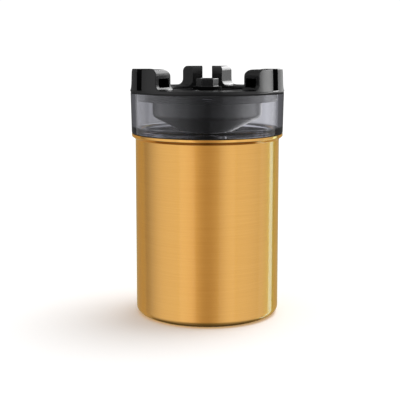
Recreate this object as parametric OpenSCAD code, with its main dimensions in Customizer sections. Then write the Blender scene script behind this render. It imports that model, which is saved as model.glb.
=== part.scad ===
// Glass grinder cup: a glass jar in a metal sleeve, closed by a blade carrier whose
// castellated bayonet ring locks onto a drive unit. It stands on its closed end, drive side up.
// Millimetres, +Z up, origin at the centre of the resting face.

/* [Metal sleeve] */
// Outside diameter of the metal sleeve
sleeve_d = 75; // [70:0.5:80]
// Wall thickness of the metal sleeve
sleeve_t = 0.8; // [0.6:0.1:1.0]
// Outside radius of the sleeve's bottom edge
base_round = 3.5; // [2.5:0.5:5]
// Height of the sleeve's rolled rim above the table
rim_z = 95.4; // [85:0.1:110]

/* [Glass jar] */
// Outside diameter of the clear collar where it meets the bayonet ring
collar_d = 79.8; // [79.4:0.1:79.9]
// Height of the clear collar, from the sleeve's rim to the carrier seal
collar_h = 20.8; // [18:0.1:26]
// Inside diameter of the jar below the collar
jar_bore_d = 68; // [64:0.5:68]
// Thickness of the jar's base
jar_base_t = 3.5; // [3:0.5:6]

/* [Bayonet ring] */
// Outside diameter of the bayonet ring's lower band
ring_d = 80.1; // [79.8:0.1:82]
// Height of the three tabs above the ring
tab_h = 10.2; // [8:0.1:11]
// Angle that each tab spans at its outer face, in degrees
tab_angle = 40.4; // [38:0.1:46]
// Angle between a tab's ends and its middle plane
tab_flare = 26.4; // [20:0.1:28]
// Width of the slot through the middle of each tab
tab_slot_w = 5.2; // [4:0.1:6]
// Radius of the rounded ends of each tab
tab_round = 3; // [2:0.1:3.2]

/* [Carrier] */
// Outside diameter of the carrier's well, seen inside the clear collar
well_d = 57; // [56:0.1:57.2]
// Angle of the carrier's cone below the horizontal, in degrees
cone_angle = 27.4; // [24:0.1:30]
// Rise of the carrier in one full turn of its lug thread
thread_lead = 12; // [10:0.5:14]

/* [Drive] */
// Diameter of the blade shaft
shaft_d = 6; // [5.5:0.1:6]
// Width across the flats of the hexagonal drive coupling
coupling_af = 10.2; // [9.5:0.1:12]
// Diameter that the blade tips sweep
blade_d = 58; // [50:1:60]

/* [Hidden] */
$fn = 96;

eps = 0.01;
reach = 5;                                  // how far cutters run past what they cut

// Metal sleeve
sleeve_r = sleeve_d / 2;
sleeve_bore_r = sleeve_r - sleeve_t;
foot_z = 0.4;                               // underside of the metal, above the pad's face
pad_recess_z = 1.4;
pad_recess_r = sleeve_r - 4.2;
sleeve_floor_z = pad_recess_z + sleeve_t;
rim_r = sleeve_r + 1.9;
rim_flare_z = rim_z - 3.3;                  // where the wall starts to flare outwards
rim_bend = 1.0;                             // outside radius at the top of the flare
rim_edge = 0.3;

// Glass jar and the soft parts round it
gasket_t = 0.5;
collar_z = rim_z + 0.3;                     // the gasket's lip shows between metal and glass
cushion_t = 1.5;
jar_z = sleeve_floor_z + cushion_t;
jar_r = sleeve_bore_r - 0.5;
jar_bore_r = jar_bore_d / 2;
jar_base_round = 4;
jar_bore_round = 5;
jar_seat_r = sleeve_r + 0.5;                // the jar's foot inside the rolled rim
collar_top_z = rim_z + 0.3 + collar_h;
collar_r = collar_d / 2;
collar_low_r = collar_r - 0.45;
collar_wall = 2.75;
shoulder_z = collar_z + 2.2;
shoulder_round = 1.5;
mouth_round = 1.2;

// Lug thread between the glass and the carrier: the lugs are glass, the ramps are cut in the carrier
lug_count = 3;
lug_z = collar_top_z - 1.9;                 // middle of a lug
lug_h = 1.2;
lug_angle = 10;
lug_reach = 0.9;
ramp_h = 2.0;
ramp_steps = 16;
ramp_angle = 96;

// Carrier seal and bayonet ring
seal_t = 0.6;
ring_z = collar_top_z + seal_t;
ring_r = ring_d / 2;
ring_band_h = 0.9;
ring_t = 1.7;
tab_r = ring_r - 0.25;
tab_foot_z = ring_z + ring_t;
tab_top_z = tab_foot_z + tab_h;
tab_draft = 0.35;
tab_inner_r = 27;
tab_inner_round = 4;
tab_edge = 0.5;
tab_count = 3;
gap_half = (360 / tab_count - tab_angle) / 2;
gap_side_angle = 180 / tab_count - tab_flare;    // a tab's end, measured from the gap's middle
gap_apex_x = tab_r * (cos(gap_half) - sin(gap_half) / tan(gap_side_angle));
left_pocket_tab = 1;                        // has a pocket in its end towards the front gap
right_pocket_tab = 2;                       // and so has this one
pocket_wall_angle = 7.5;                    // a pocket's inner wall, from the tab's middle
first_tab_angle = 90;
pocket_low_z = tab_foot_z + 1.5;
pocket_h = 4.1;
pocket_inner_r = tab_inner_r + 1.7;
pocket_outer_r = tab_r - 2.8;
pocket_round = 2.6;
screw_ring_r = 32.8;
screw_r = 1.25;
screw_hole_r = 1.35;
screw_l = 5.2;

// Carrier
flange_r = 36.8;
flange_h = 3.8;
flange_top_z = collar_top_z - 0.1;
flange_z = flange_top_z - flange_h;
neck_r = 35.9;
well_r = well_d / 2;
well_t = 1.5;
well_round = 3;
well_turn_z = flange_z - 6.4;               // where the well's wall turns into the cone
hub_r = 10;
hub_z = 91.0;
tower_r = 8.2;
tower_top_z = ring_z + 0.2;
web_count = 6;
web_t = 1.6;
web_top_z = well_turn_z + 2.6;

// Shaft bearings and seal
shaft_r = shaft_d / 2;
running = 0.03;                             // radial clearance of a running fit
bush_r = 5;
bush_l = 8;
lower_bush_z = 96.5;
upper_bush_z = ring_z - 0.6 - bush_l;
hub_bore_r = 6;
hub_sleeve_z = 93.8;
hub_sleeve_flange_h = 1.2;
hub_sleeve_top_z = ring_z - 0.3;
counterbore_r = 8;
shaft_seal_z = 92.2;
seal_cap_z = 91.2;
oring_r = 0.6;
oring_z = 99;

// Rotor
coupling_z = ring_z + 0.8;
coupling_base_h = 1.7;
coupling_base_r = 7.5;
coupling_top_z = coupling_z + 5.8;
coupling_screw_r = 1.5;
coupling_recess_r = 3.4;
coupling_recess_h = 1.5;
shaft_top_z = coupling_top_z - coupling_recess_h;
shaft_flat = 2.4;
collar_low_z = 89.4;
collar_t = 1.4;
shaft_collar_r = 5.5;
blade_t = 1.2;
blade_gap = 1.5;
upper_blade_z = collar_low_z - blade_t;
lower_blade_z = upper_blade_z - blade_gap - blade_t;
blade_hub_r = 6.5;
blade_root = 9;
blade_tip = 5.5;
blade_bend_r = 8;
upper_blade_bend = 12;
lower_blade_bend = -16;
washer_t = 0.6;
nut_h = 3.6;
nut_af = 8;
nut_dome_r = 3.6;
nut_flange_r = 5;
nut_flange_h = 0.8;
nut_z = lower_blade_z - washer_t - nut_h;
shaft_low_z = nut_z - 0.4;
thread_r = 2.5;

// Points on an arc about c, from angle a to angle b
function arc(c, r, a, b, n = 8) =
    [for (i = [0:n]) c + r * [cos(a + (b - a) * i / n), sin(a + (b - a) * i / n)]];

// The same points with the first and last stretches run on a little
function run_on(p, by = 0.3) = concat(
    [p[0] + by * (p[0] - p[1])], p, [p[len(p) - 1] + by * (p[len(p) - 1] - p[len(p) - 2])]
);

// A ring or disc from z to z + h
module disc(z, h, outer, inner = 0) {
    translate([0, 0, z])
        if (inner > 0)
            difference() {
                cylinder(r = outer, h = h);
                translate([0, 0, -reach]) cylinder(r = inner, h = h + 2 * reach);
            }
        else
            cylinder(r = outer, h = h);
}

// A round bar with two flats, for the blade seats
module double_d(z, h, r, flat) {
    intersection() {
        disc(z, h, r);
        translate([-r, -flat, z]) cube([2 * r, 2 * flat, h]);
    }
}

// ---------- Jar ----------

module metal_sleeve() {
    flare = rim_r - rim_bend * (1 - cos(45)) - sleeve_r;
    flare_z = rim_flare_z + flare;
    bend_z = flare_z + rim_bend * sin(45);
    seat_r = rim_r - sleeve_t;
    seat_z = flare_z + (seat_r - (sleeve_r + flare)) + sleeve_t * sqrt(2);
    inner_flare_z = seat_z - (seat_r - sleeve_bore_r);
    corner_z = foot_z + base_round;
    inner_round = base_round - sleeve_t;
    floor_angle = asin((corner_z - sleeve_floor_z) / inner_round);
    color("goldenrod")
        rotate_extrude()
            polygon(concat(
                [[0, pad_recess_z], [pad_recess_r, pad_recess_z], [pad_recess_r, foot_z]],
                arc([sleeve_r - base_round, corner_z], base_round, -90, 0),
                [[sleeve_r, rim_flare_z]],
                arc([rim_r - rim_bend, bend_z], rim_bend, -45, 0, 5),
                arc([rim_r - rim_edge, rim_z - rim_edge], rim_edge, 0, 90, 4),
                [[seat_r, rim_z], [seat_r, seat_z], [sleeve_bore_r, inner_flare_z]],
                arc([sleeve_r - base_round, corner_z], inner_round, 0, -floor_angle, 5),
                [[0, sleeve_floor_z]]
            ));
}

module glass_jar() {
    seat_z = collar_z - 1.3;
    foot_cone_z = seat_z - (jar_seat_r - jar_r);
    inner_top_r = collar_r - collar_wall;
    inner_low_r = collar_low_r - collar_wall + 0.3;
    floor_z = jar_z + jar_base_t;
    color([0.62, 0.62, 0.68, 0.4])
        union() {
            rotate_extrude()
                polygon(concat(
                    [[0, jar_z]],
                    arc([jar_r - jar_base_round, jar_z + jar_base_round], jar_base_round, -90, 0),
                    [[jar_r, foot_cone_z], [jar_seat_r, seat_z], [jar_seat_r, collar_z]],
                    arc([collar_low_r - 0.4, collar_z + 0.4], 0.4, -90, 0, 4),
                    arc([collar_r - 0.3, collar_top_z - 0.3], 0.3, 0, 90, 4),
                    arc([inner_top_r + 0.3, collar_top_z - 0.3], 0.3, 90, 180, 4),
                    arc([inner_low_r - shoulder_round, shoulder_z + shoulder_round],
                        shoulder_round, 0, -90, 6),
                    arc([jar_bore_r + mouth_round, shoulder_z - mouth_round], mouth_round, 90, 180, 6),
                    arc([jar_bore_r - jar_bore_round, floor_z + jar_bore_round],
                        jar_bore_round, 0, -90, 8),
                    [[0, floor_z]]
                ));
            for (i = [0:lug_count - 1])
                rotate([0, 0, 30 + i * 360 / lug_count])
                    glass_lug(inner_top_r);
        }
}

// One thread lug on the inside of the collar
module glass_lug(wall_r) {
    rotate([0, 0, -lug_angle / 2])
        rotate_extrude(angle = lug_angle)
            translate([wall_r - lug_reach, lug_z - lug_h / 2])
                square([lug_reach + collar_wall / 2, lug_h]);
}

// Conical gasket between the rolled rim and the jar's foot, with a thin lip that shows
module rim_gasket() {
    seat_z = collar_z - 1.3;
    lip_r = rim_r - sleeve_t;
    color("black")
        rotate_extrude()
            polygon([
                [jar_seat_r + 0.02, seat_z], [lip_r - 0.02, seat_z + 0.1], [lip_r - 0.02, rim_z + 0.02],
                [collar_low_r - 0.2, rim_z + 0.02], [collar_low_r - 0.2, collar_z - 0.02],
                [jar_seat_r + 0.02, collar_z - 0.02]
            ]);
}

module base_cushion() {
    color("dimgray") disc(sleeve_floor_z, cushion_t, jar_r - jar_base_round);
}

module foot_pad() {
    color("black") disc(0, pad_recess_z, pad_recess_r - 0.3);
}

// ---------- Carrier ----------

module carrier_seal() {
    color("black") disc(collar_top_z, seal_t, collar_r - 0.1, neck_r + 0.1);
}

// The gap between two tabs, as a cutter centred on +X: a wedge along the tabs' ends that also
// takes their top corners off
module tab_gap() {
    far = 2 * ring_r;
    top_z = tab_top_z + 1;
    corner = run_on(arc([-tab_round, tab_top_z - tab_round], tab_round, 0, 90, 6));
    translate([gap_apex_x, 0, tab_foot_z])
        linear_extrude(height = top_z - tab_foot_z)
            polygon([[0, 0], far * [cos(gap_side_angle), -sin(gap_side_angle)],
                     far * [cos(gap_side_angle), sin(gap_side_angle)]]);
    for (side = [-1, 1])
        tab_end_bar(side, concat(
            corner, [[-tab_round - 1, top_z + 1], [1, top_z + 1], [1, corner[0][1]]]
        ));
}

// The concave feet of the two tabs beside a gap centred on +X
module tab_feet() {
    inset = 0.15;
    curve = run_on(arc([tab_round, tab_foot_z + tab_round], tab_round, -90, -180, 6));
    top_z = curve[len(curve) - 1][1];
    intersection() {
        disc(tab_foot_z - 1, tab_round + 2, tab_r - inset, tab_inner_r + inset);
        union()
            for (side = [-1, 1])
                tab_end_bar(side, concat(
                    curve, [[-0.4, top_z], [-0.4, tab_foot_z - 0.4], [curve[0][0], tab_foot_z - 0.4]]
                ));
    }
}

// A bar along a tab's end, beside a gap centred on +X; its profile is given as distance into
// the gap and height
module tab_end_bar(side, profile) {
    translate([gap_apex_x, 0, 0])
        rotate([0, 0, side * gap_side_angle])
            translate([tab_inner_r - 5, 0, 0])
                rotate([90, 0, 90])
                    linear_extrude(height = 1.5 * ring_r)
                        polygon([for (p = profile) [-side * p[0], p[1]]]);
}

// The pocket in one end of a tab centred on +X; side is 1 for its end towards +Y and -1 for the other
module end_pocket(side) {
    open_angle = tab_angle / 2 + 9;
    turn = open_angle - pocket_wall_angle;
    top_z = pocket_low_z + pocket_h;
    rotate([0, 0, side > 0 ? pocket_wall_angle : -open_angle])
        rotate_extrude(angle = turn)
            polygon(concat(
                [[pocket_inner_r, pocket_low_z], [pocket_outer_r, pocket_low_z],
                 [pocket_outer_r, top_z]],
                arc([pocket_inner_r + pocket_round, top_z - pocket_round],
                    pocket_round, 90, 180, 5)
            ));
}

module bayonet_ring() {
    screw_head_r = 2.4;
    gap_turn = first_tab_angle + 180 / tab_count;
    color([0.12, 0.12, 0.13])
        difference() {
            union() {
                difference() {
                    rotate_extrude()
                        polygon(concat(
                            [[tab_inner_r, ring_z], [ring_r, ring_z],
                             [ring_r, ring_z + ring_band_h], [tab_r, ring_z + ring_band_h],
                             [tab_r, tab_foot_z]],
                            arc([tab_r - tab_draft - tab_edge, tab_top_z - tab_edge],
                                tab_edge, 0, 90, 4),
                            arc([tab_inner_r + tab_inner_round, tab_top_z - tab_inner_round],
                                tab_inner_round, 90, 180)
                        ));
                    for (i = [0:tab_count - 1])
                        rotate([0, 0, gap_turn + i * 360 / tab_count]) tab_gap();
                }
                for (i = [0:tab_count - 1])
                    rotate([0, 0, gap_turn + i * 360 / tab_count]) tab_feet();
            }
            for (i = [0:tab_count - 1])
                rotate([0, 0, first_tab_angle + i * 360 / tab_count]) {
                    if (i == left_pocket_tab) end_pocket(1);
                    if (i == right_pocket_tab) end_pocket(-1);
                    translate([tab_inner_r - 1, -tab_slot_w / 2, tab_foot_z - 0.4])
                        cube([tab_r, tab_slot_w, tab_h + reach]);
                    translate([screw_ring_r, 0, 0]) {
                        disc(ring_z - reach, 2 * reach, screw_hole_r);
                        disc(tab_foot_z - 0.9, reach, screw_head_r);
                    }
                }
        }
}

// Three screws in the floors of the tab slots hold the ring on the carrier
module ring_screws() {
    head_z = tab_foot_z - 0.9;
    color("silver")
        for (i = [0:tab_count - 1])
            rotate([0, 0, first_tab_angle + i * 360 / tab_count])
                translate([screw_ring_r, 0, 0])
                    difference() {
                        union() {
                            disc(head_z, 1.3, 2.2);
                            disc(head_z - screw_l + eps, screw_l, screw_r);
                        }
                        for (turn = [0, 90])
                            rotate([0, 0, turn])
                                translate([-1.4, -0.3, head_z + 0.5]) cube([2.8, 0.6, reach]);
                    }
}

// Flange, well, cone and hub in one moulding
module blade_carrier() {
    turn_c = [well_r - well_round, well_turn_z];
    turn_end = turn_c + well_round * [sin(cone_angle), -cos(cone_angle)];
    under_hub_z = turn_end[1] - (turn_end[0] - hub_r) * tan(cone_angle);
    inner_round = well_round - well_t;
    inner_end = turn_c + inner_round * [sin(cone_angle), -cos(cone_angle)];
    tower_foot_z = inner_end[1] - (inner_end[0] - tower_r) * tan(cone_angle);
    color([0.16, 0.16, 0.17])
        difference() {
            union() {
                rotate_extrude()
                    polygon(concat(
                        [[hub_bore_r, hub_z], [hub_r, hub_z], [hub_r, under_hub_z]],
                        arc(turn_c, well_round, cone_angle - 90, 0),
                        arc([well_r + 0.8, flange_z - 0.8], 0.8, 180, 90, 4),
                        arc([flange_r - 0.3, flange_z + 0.3], 0.3, -90, 0, 4),
                        [[flange_r, flange_top_z], [neck_r, flange_top_z], [neck_r, ring_z],
                         [well_r - well_t, ring_z]],
                        arc(turn_c, inner_round, 0, cone_angle - 90),
                        [[tower_r, tower_foot_z], [tower_r, tower_top_z],
                         [hub_bore_r, tower_top_z]]
                    ));
                for (i = [0:web_count - 1])
                    rotate([0, 0, 30 + i * 360 / web_count])
                        web(tower_foot_z);
            }
            disc(hub_z - reach, hub_sleeve_z + hub_sleeve_flange_h + reach - hub_z, counterbore_r);
            rotate_extrude()
                translate([hub_bore_r - 1, oring_z - oring_r - 0.1])
                    square([1 + 2 * oring_r, 2 * oring_r + 0.2]);
            for (i = [0:lug_count - 1])
                rotate([0, 0, 30 + i * 360 / lug_count])
                    ramp();
            for (i = [0:tab_count - 1])
                rotate([0, 0, first_tab_angle + i * 360 / tab_count])
                    translate([screw_ring_r, 0, 0])
                        disc(ring_z - screw_l, screw_l + reach, screw_r);
        }
}

// A stiffening web from the hub's tower to the cone
module web(foot_z) {
    intersection() {
        translate([tower_r - 0.5, -web_t / 2, foot_z - 2])
            cube([well_r - tower_r, web_t, web_top_z - foot_z + 2]);
        rotate_extrude()
            polygon([
                [tower_r - 1, foot_z - 1], [tower_r, foot_z - 1],
                [well_r - well_round, well_turn_z - 2.6], [well_r - well_t / 2, well_turn_z + 1],
                [well_r - well_t / 2, well_turn_z + 1.5], [tower_r - 1, web_top_z]
            ]);
    }
}

// The ramp that a glass lug follows as the carrier is screwed on
module ramp() {
    step = ramp_angle / ramp_steps;
    rise = thread_lead * step / 360;
    width = 2 * flange_r * tan(lug_angle / 2 + 1.5);
    for (i = [0:ramp_steps + 1])
        rotate([0, 0, -i * step])
            translate([neck_r, -width / 2, lug_z - ramp_h / 2 - i * rise])
                cube([reach, width, ramp_h]);
}

module hub_sleeve() {
    color("silver")
        difference() {
            union() {
                disc(hub_sleeve_z, hub_sleeve_top_z - hub_sleeve_z, hub_bore_r);
                disc(hub_sleeve_z, hub_sleeve_flange_h, counterbore_r);
            }
            disc(hub_sleeve_z - reach, hub_sleeve_top_z, bush_r);
        }
}

module hub_oring() {
    color("black")
        rotate_extrude() translate([hub_bore_r + oring_r, oring_z]) circle(r = oring_r, $fn = 32);
}

module bush(z) {
    color("peru") disc(z, bush_l, bush_r, shaft_r + running);
}

module lower_bush() {
    bush(lower_bush_z);
}

module upper_bush() {
    bush(upper_bush_z);
}

module shaft_seal() {
    color("firebrick")
        disc(shaft_seal_z, hub_sleeve_z - shaft_seal_z, counterbore_r, shaft_r + running);
}

module seal_cap() {
    color("silver")
        disc(seal_cap_z, shaft_seal_z - seal_cap_z, counterbore_r, shaft_r + 0.4);
}

// ---------- Rotor ----------

module drive_shaft() {
    groove_z = ring_z - 0.1;
    color("lightgray")
        difference() {
            union() {
                disc(collar_low_z + collar_t - eps, coupling_z - collar_low_z - collar_t + 2 * eps, shaft_r);
                double_d(coupling_z, shaft_top_z - coupling_z, shaft_r, shaft_flat);
                disc(collar_low_z, collar_t, shaft_collar_r);
                double_d(lower_blade_z - washer_t, collar_low_z - lower_blade_z + washer_t + eps,
                         shaft_r, shaft_flat);
                disc(shaft_low_z, lower_blade_z - shaft_low_z - washer_t + eps, thread_r - 0.1);
            }
            disc(shaft_top_z - 8, 8 + reach, coupling_screw_r);
            disc(groove_z, 0.6, shaft_r + 1, shaft_r - 0.4);
        }
}

module drive_coupling() {
    color([0.2, 0.2, 0.21])
        difference() {
            union() {
                disc(coupling_z, coupling_base_h, coupling_base_r);
                translate([0, 0, coupling_z + coupling_base_h - eps])
                    cylinder(r = coupling_af / 2 / cos(30),
                             h = coupling_top_z - coupling_z - coupling_base_h + eps, $fn = 6);
            }
            double_d(coupling_z - reach, shaft_top_z - coupling_z + reach + eps,
                     shaft_r, shaft_flat);
            disc(shaft_top_z, reach, coupling_recess_r);
        }
}

module coupling_screw() {
    color("silver")
        difference() {
            union() {
                disc(shaft_top_z, 1.2, 2.8);
                disc(shaft_top_z - 7.5, 7.5 + eps, coupling_screw_r);
            }
            translate([0, 0, shaft_top_z + 0.4]) cylinder(r = 1.3, h = reach, $fn = 6);
        }
}

module thrust_washer() {
    color("ivory") disc(ring_z - 0.5, 0.4, 4.8, shaft_r + running);
}

module retaining_ring() {
    opening = 1.6;
    color("gray")
        difference() {
            disc(ring_z - 0.1 + eps, 0.6 - 2 * eps, 4.4, shaft_r - 0.4);
            translate([0, -opening / 2, ring_z - reach]) cube([reach * 2, opening, reach * 2]);
        }
}

// A blade: a flat hub and two wings bent out of its plane, tapering to swept, rounded tips
module blade(z, bend, turn) {
    length = blade_d / 2 - blade_bend_r;
    end = [blade_bend_r + length * cos(bend), length * sin(bend)];
    kink = blade_t * tan(bend / 2);
    right = [[blade_bend_r, 0], end, end + blade_t * [-sin(bend), cos(bend)],
             [blade_bend_r - kink, blade_t]];
    left = [for (i = [3:-1:0]) [-right[i][0], right[i][1]]];
    color("silver")
        translate([0, 0, z])
            difference() {
                rotate([0, 0, turn])
                    intersection() {
                        rotate([90, 0, 0])
                            linear_extrude(height = 4 * blade_root, center = true)
                                polygon(concat(right, left));
                        translate([0, 0, -2 * reach])
                            union() {
                                cylinder(r = blade_hub_r, h = 4 * reach);
                                for (side = [0, 180]) rotate([0, 0, side]) wing();
                            }
                    }
                double_d(-reach, 2 * reach, shaft_r, shaft_flat);
            }
}

// The plan of one wing along +X
module wing() {
    tip = blade_d / 2 - 0.6;
    sweep = 2.4;
    linear_extrude(height = 4 * reach)
        polygon(concat(
            [[0, -blade_root / 2], [blade_bend_r, -blade_root / 2], [tip * 0.62, -blade_root / 2 + 0.7]],
            arc([tip - blade_tip / 2, sweep - blade_tip / 2 + 1.2], blade_tip / 2, -60, 90, 8),
            [[tip * 0.55, blade_root / 2 + 0.1], [blade_bend_r, blade_root / 2], [0, blade_root / 2]]
        ));
}

module upper_blade() {
    blade(upper_blade_z, upper_blade_bend, 0);
}

module lower_blade() {
    blade(lower_blade_z, lower_blade_bend, 90);
}

module blade_spacer() {
    color("silver")
        difference() {
            disc(lower_blade_z + blade_t, blade_gap, blade_hub_r - 1);
            double_d(lower_blade_z, blade_gap + 2 * blade_t, shaft_r, shaft_flat);
        }
}

module lock_washer() {
    color("gray")
        difference() {
            disc(lower_blade_z - washer_t, washer_t, 4.6);
            double_d(lower_blade_z - reach, 2 * reach, shaft_r, shaft_flat);
        }
}

// Domed nut with a flange under its hexagon
module blade_nut() {
    color("silver")
        difference() {
            union() {
                translate([0, 0, nut_z]) cylinder(r = nut_af / 2 / cos(30), h = nut_h, $fn = 6);
                disc(nut_z + nut_h - nut_flange_h, nut_flange_h, nut_flange_r);
                rotate_extrude()
                    polygon(concat([[0, nut_z + eps]], arc([0, nut_z], nut_dome_r, 0, -90, 6)));
            }
            disc(shaft_low_z, nut_h + 1, thread_r - 0.1);
        }
}

metal_sleeve();
glass_jar();
rim_gasket();
base_cushion();
foot_pad();
carrier_seal();
bayonet_ring();
blade_carrier();
ring_screws();
hub_sleeve();
hub_oring();
lower_bush();
upper_bush();
shaft_seal();
seal_cap();
drive_shaft();
drive_coupling();
coupling_screw();
thrust_washer();
retaining_ring();
upper_blade();
blade_spacer();
lower_blade();
lock_washer();
blade_nut();
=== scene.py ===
"""Looks of a glass grinder cup: a satin gold sleeve round a smoky glass jar, closed by a black blade
carrier with a castellated bayonet ring and a blade rotor. Shapes are worked out in millimetres, from the
boxes of the CAD nodes, and scaled to metres when a mesh is made. +Z is up and -Y faces the camera."""
import math

import bmesh
import bpy
import numpy as np
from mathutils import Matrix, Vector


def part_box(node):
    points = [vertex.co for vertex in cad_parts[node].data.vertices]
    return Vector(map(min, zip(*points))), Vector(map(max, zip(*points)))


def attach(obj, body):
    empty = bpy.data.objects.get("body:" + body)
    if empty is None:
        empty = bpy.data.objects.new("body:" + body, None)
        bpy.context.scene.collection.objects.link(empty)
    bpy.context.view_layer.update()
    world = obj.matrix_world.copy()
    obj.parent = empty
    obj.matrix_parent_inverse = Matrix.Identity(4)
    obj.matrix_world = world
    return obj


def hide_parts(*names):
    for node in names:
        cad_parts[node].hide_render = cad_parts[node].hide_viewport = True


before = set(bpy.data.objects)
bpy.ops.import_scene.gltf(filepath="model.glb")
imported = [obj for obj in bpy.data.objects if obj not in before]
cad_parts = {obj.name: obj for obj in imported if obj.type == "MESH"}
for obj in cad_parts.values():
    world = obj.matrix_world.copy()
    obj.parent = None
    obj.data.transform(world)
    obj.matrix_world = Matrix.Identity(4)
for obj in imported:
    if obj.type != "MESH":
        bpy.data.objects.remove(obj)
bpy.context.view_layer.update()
MM = 0.001
X, Y, Z = 0, 1, 2


def low(node, axis=Z):
    """The node's lowest coordinate along an axis, in millimetres"""
    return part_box(node)[0][axis] / MM


def high(node, axis=Z):
    """The node's highest coordinate along an axis, in millimetres"""
    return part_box(node)[1][axis] / MM


# ---------- Driving dimensions, in millimetres ----------

# Sleeve: its wall, and a rim that flares out beyond it
RIM_R = high("metal_sleeve", X)
RIM_Z = high("metal_sleeve")
FOOT_Z = low("metal_sleeve")
SLEEVE_R = RIM_R - 1.9
SLEEVE_T = 0.8
BASE_ROUND = 3.5

# Jar: the part inside the sleeve, its seat in the rim, and the clear collar above
JAR_Z = low("glass_jar")
JAR_R = SLEEVE_R - SLEEVE_T - 0.5
JAR_BORE_R = 34.0
JAR_SEAT_R = SLEEVE_R + 0.5
COLLAR_Z = RIM_Z + 0.3
JAR_SEAT_Z = COLLAR_Z - 1.3
COLLAR_TOP_Z = high("glass_jar")
COLLAR_R = high("glass_jar", X)
COLLAR_LOW_R = COLLAR_R - 0.45
COLLAR_WALL = 2.75
LUG_Z = COLLAR_TOP_Z - 1.9
LUG_ANGLES = (30, 150, 270)
THREAD_LEAD = 12.0

# Bayonet ring: a low band, and three slotted tabs on it
RING_Z = low("bayonet_ring")
RING_R = high("bayonet_ring", X)
RING_BAND_H = 0.9
TAB_FOOT_Z = RING_Z + 1.7
TAB_TOP_Z = high("bayonet_ring")
TAB_R = RING_R - 0.25
TAB_DRAFT = 0.35
TAB_INNER_R = 27.0
TAB_HALF_ANGLE = 20.2
TAB_FLARE = 26.4
TAB_ANGLES = (90, 210, 330)
SLOT_HALF = 2.6
SLOT_FLOOR_Z = TAB_FOOT_Z - 0.4

# Pockets in the two tab ends beside the front gap
POCKET_WALL_ANGLE = 52.5
POCKET_LOW_Z = TAB_FOOT_Z + 1.5
POCKET_TOP_Z = TAB_FOOT_Z + 5.6
POCKET_INNER_R = TAB_INNER_R + 1.7
POCKET_OUTER_R = TAB_R - 2.8

# Screws that hold the ring to the carrier
SCREW_RING_R = 32.8
SCREW_R = 1.25
SCREW_L = 5.2
SCREW_HEAD_R = 2.2
COUNTERBORE_R = 2.4
COUNTERBORE_Z = TAB_FOOT_Z - 0.9

# Carrier: flange, well, cone, hub, the tower over the hub, and webs
FLANGE_R = high("blade_carrier", X)
FLANGE_TOP_Z = COLLAR_TOP_Z - 0.1
FLANGE_Z = COLLAR_TOP_Z - 3.9
NECK_R = 35.9
WELL_R = 28.5
WELL_T = 1.5
WELL_TURN_Z = FLANGE_Z - 6.4
CONE_ANGLE = 27.4
HUB_Z = low("blade_carrier")
HUB_R = 10
HUB_BORE_R = 6
TOWER_R = 8.2
TOWER_TOP_Z = high("blade_carrier")
WEB_TOP_Z = WELL_TURN_Z + 2.6
WEB_COUNT = 6

# Rotor: shaft with two flats, driver and bent blades
SHAFT_R = 3.0
SHAFT_FLAT = 2.4
COUPLING_BASE_H = 1.7
BLADE_T = 1.2
BLADE_TIP_R = 28.4
BLADE_ROOT = 4.5
BLADE_BEND_R = 8.0
BLADE_HUB_R = 6.5


# ---------- Mesh helpers ----------

LATHE_STEPS = 192                           # points round a turned piece
SHARP_ANGLE = 38                            # edges sharper than this stay sharp, in degrees


def rounded(corners, steps=6):
    """An outline from corners (across, up, radius), each rounded to its radius"""
    outline = []
    for i, (across, up, radius) in enumerate(corners):
        corner = np.array((across, up), float)
        if not radius:
            outline.append(corner)
            continue
        before = np.array(corners[i - 1][:2]) - corner
        after = np.array(corners[(i + 1) % len(corners)][:2]) - corner
        before /= np.linalg.norm(before)
        after /= np.linalg.norm(after)
        half = math.acos(np.clip(before @ after, -1, 1)) / 2
        centre = corner + (before + after) / np.linalg.norm(before + after) * radius / math.sin(half)
        first = corner + before * radius / math.tan(half) - centre
        last = corner + after * radius / math.tan(half) - centre
        start = math.atan2(first[1], first[0])
        turn = math.atan2(first[0] * last[1] - first[1] * last[0], first @ last)
        for k in range(steps + 1):
            angle = start + turn * k / steps
            outline.append(centre + radius * np.array((math.cos(angle), math.sin(angle))))
    return outline


def rows_between(outline, z_low, z_high, pitch):
    """The outline with extra points where its near-vertical stretches pass between two heights"""
    out = []
    for i, point in enumerate(outline):
        out.append(point)
        after = outline[(i + 1) % len(outline)]
        tall = abs(after[1] - point[1])
        if tall > 2 * pitch and abs(after[0] - point[0]) < tall / 4:
            count = int(tall / pitch)
            for k in range(1, count):
                between = point + (after - point) * k / count
                if z_low < between[1] < z_high:
                    out.append(between)
    return out


def lathe(outline, steps=LATHE_STEPS, shape=None):
    """Vertices and faces of a closed outline turned about Z; shape changes a point's radius"""
    angles = np.arange(steps) * 2 * math.pi / steps
    vertices, rows = [], []
    for radius, height in outline:
        if radius < 1e-6:
            rows.append([len(vertices)] * steps)
            vertices.append((0, 0, height))
            continue
        radii = np.full(steps, radius)
        if shape is not None:
            radii = shape(radii, np.degrees(angles), height)
        rows.append(list(range(len(vertices), len(vertices) + steps)))
        vertices += [(r * math.cos(a), r * math.sin(a), height) for r, a in zip(radii, angles)]
    faces = []
    for i, row in enumerate(rows):
        after = rows[(i + 1) % len(rows)]
        if row[0] == row[1] and after[0] == after[1]:
            continue
        for j in range(steps):
            face = (row[j], row[(j + 1) % steps], after[(j + 1) % steps], after[j])
            faces.append(tuple(dict.fromkeys(face)))
    return np.array(vertices, float), faces


def turned(vertices, degrees):
    """Vertices turned about Z"""
    c, s = math.cos(math.radians(degrees)), math.sin(math.radians(degrees))
    return vertices @ np.array(((c, s, 0), (-s, c, 0), (0, 0, 1)))


def joined(parts):
    """Several (vertices, faces) as one"""
    vertices, faces, start = [], [], 0
    for part_vertices, part_faces in parts:
        vertices.append(part_vertices)
        faces += [tuple(v + start for v in face) for face in part_faces]
        start += len(part_vertices)
    return np.concatenate(vertices), faces


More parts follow.
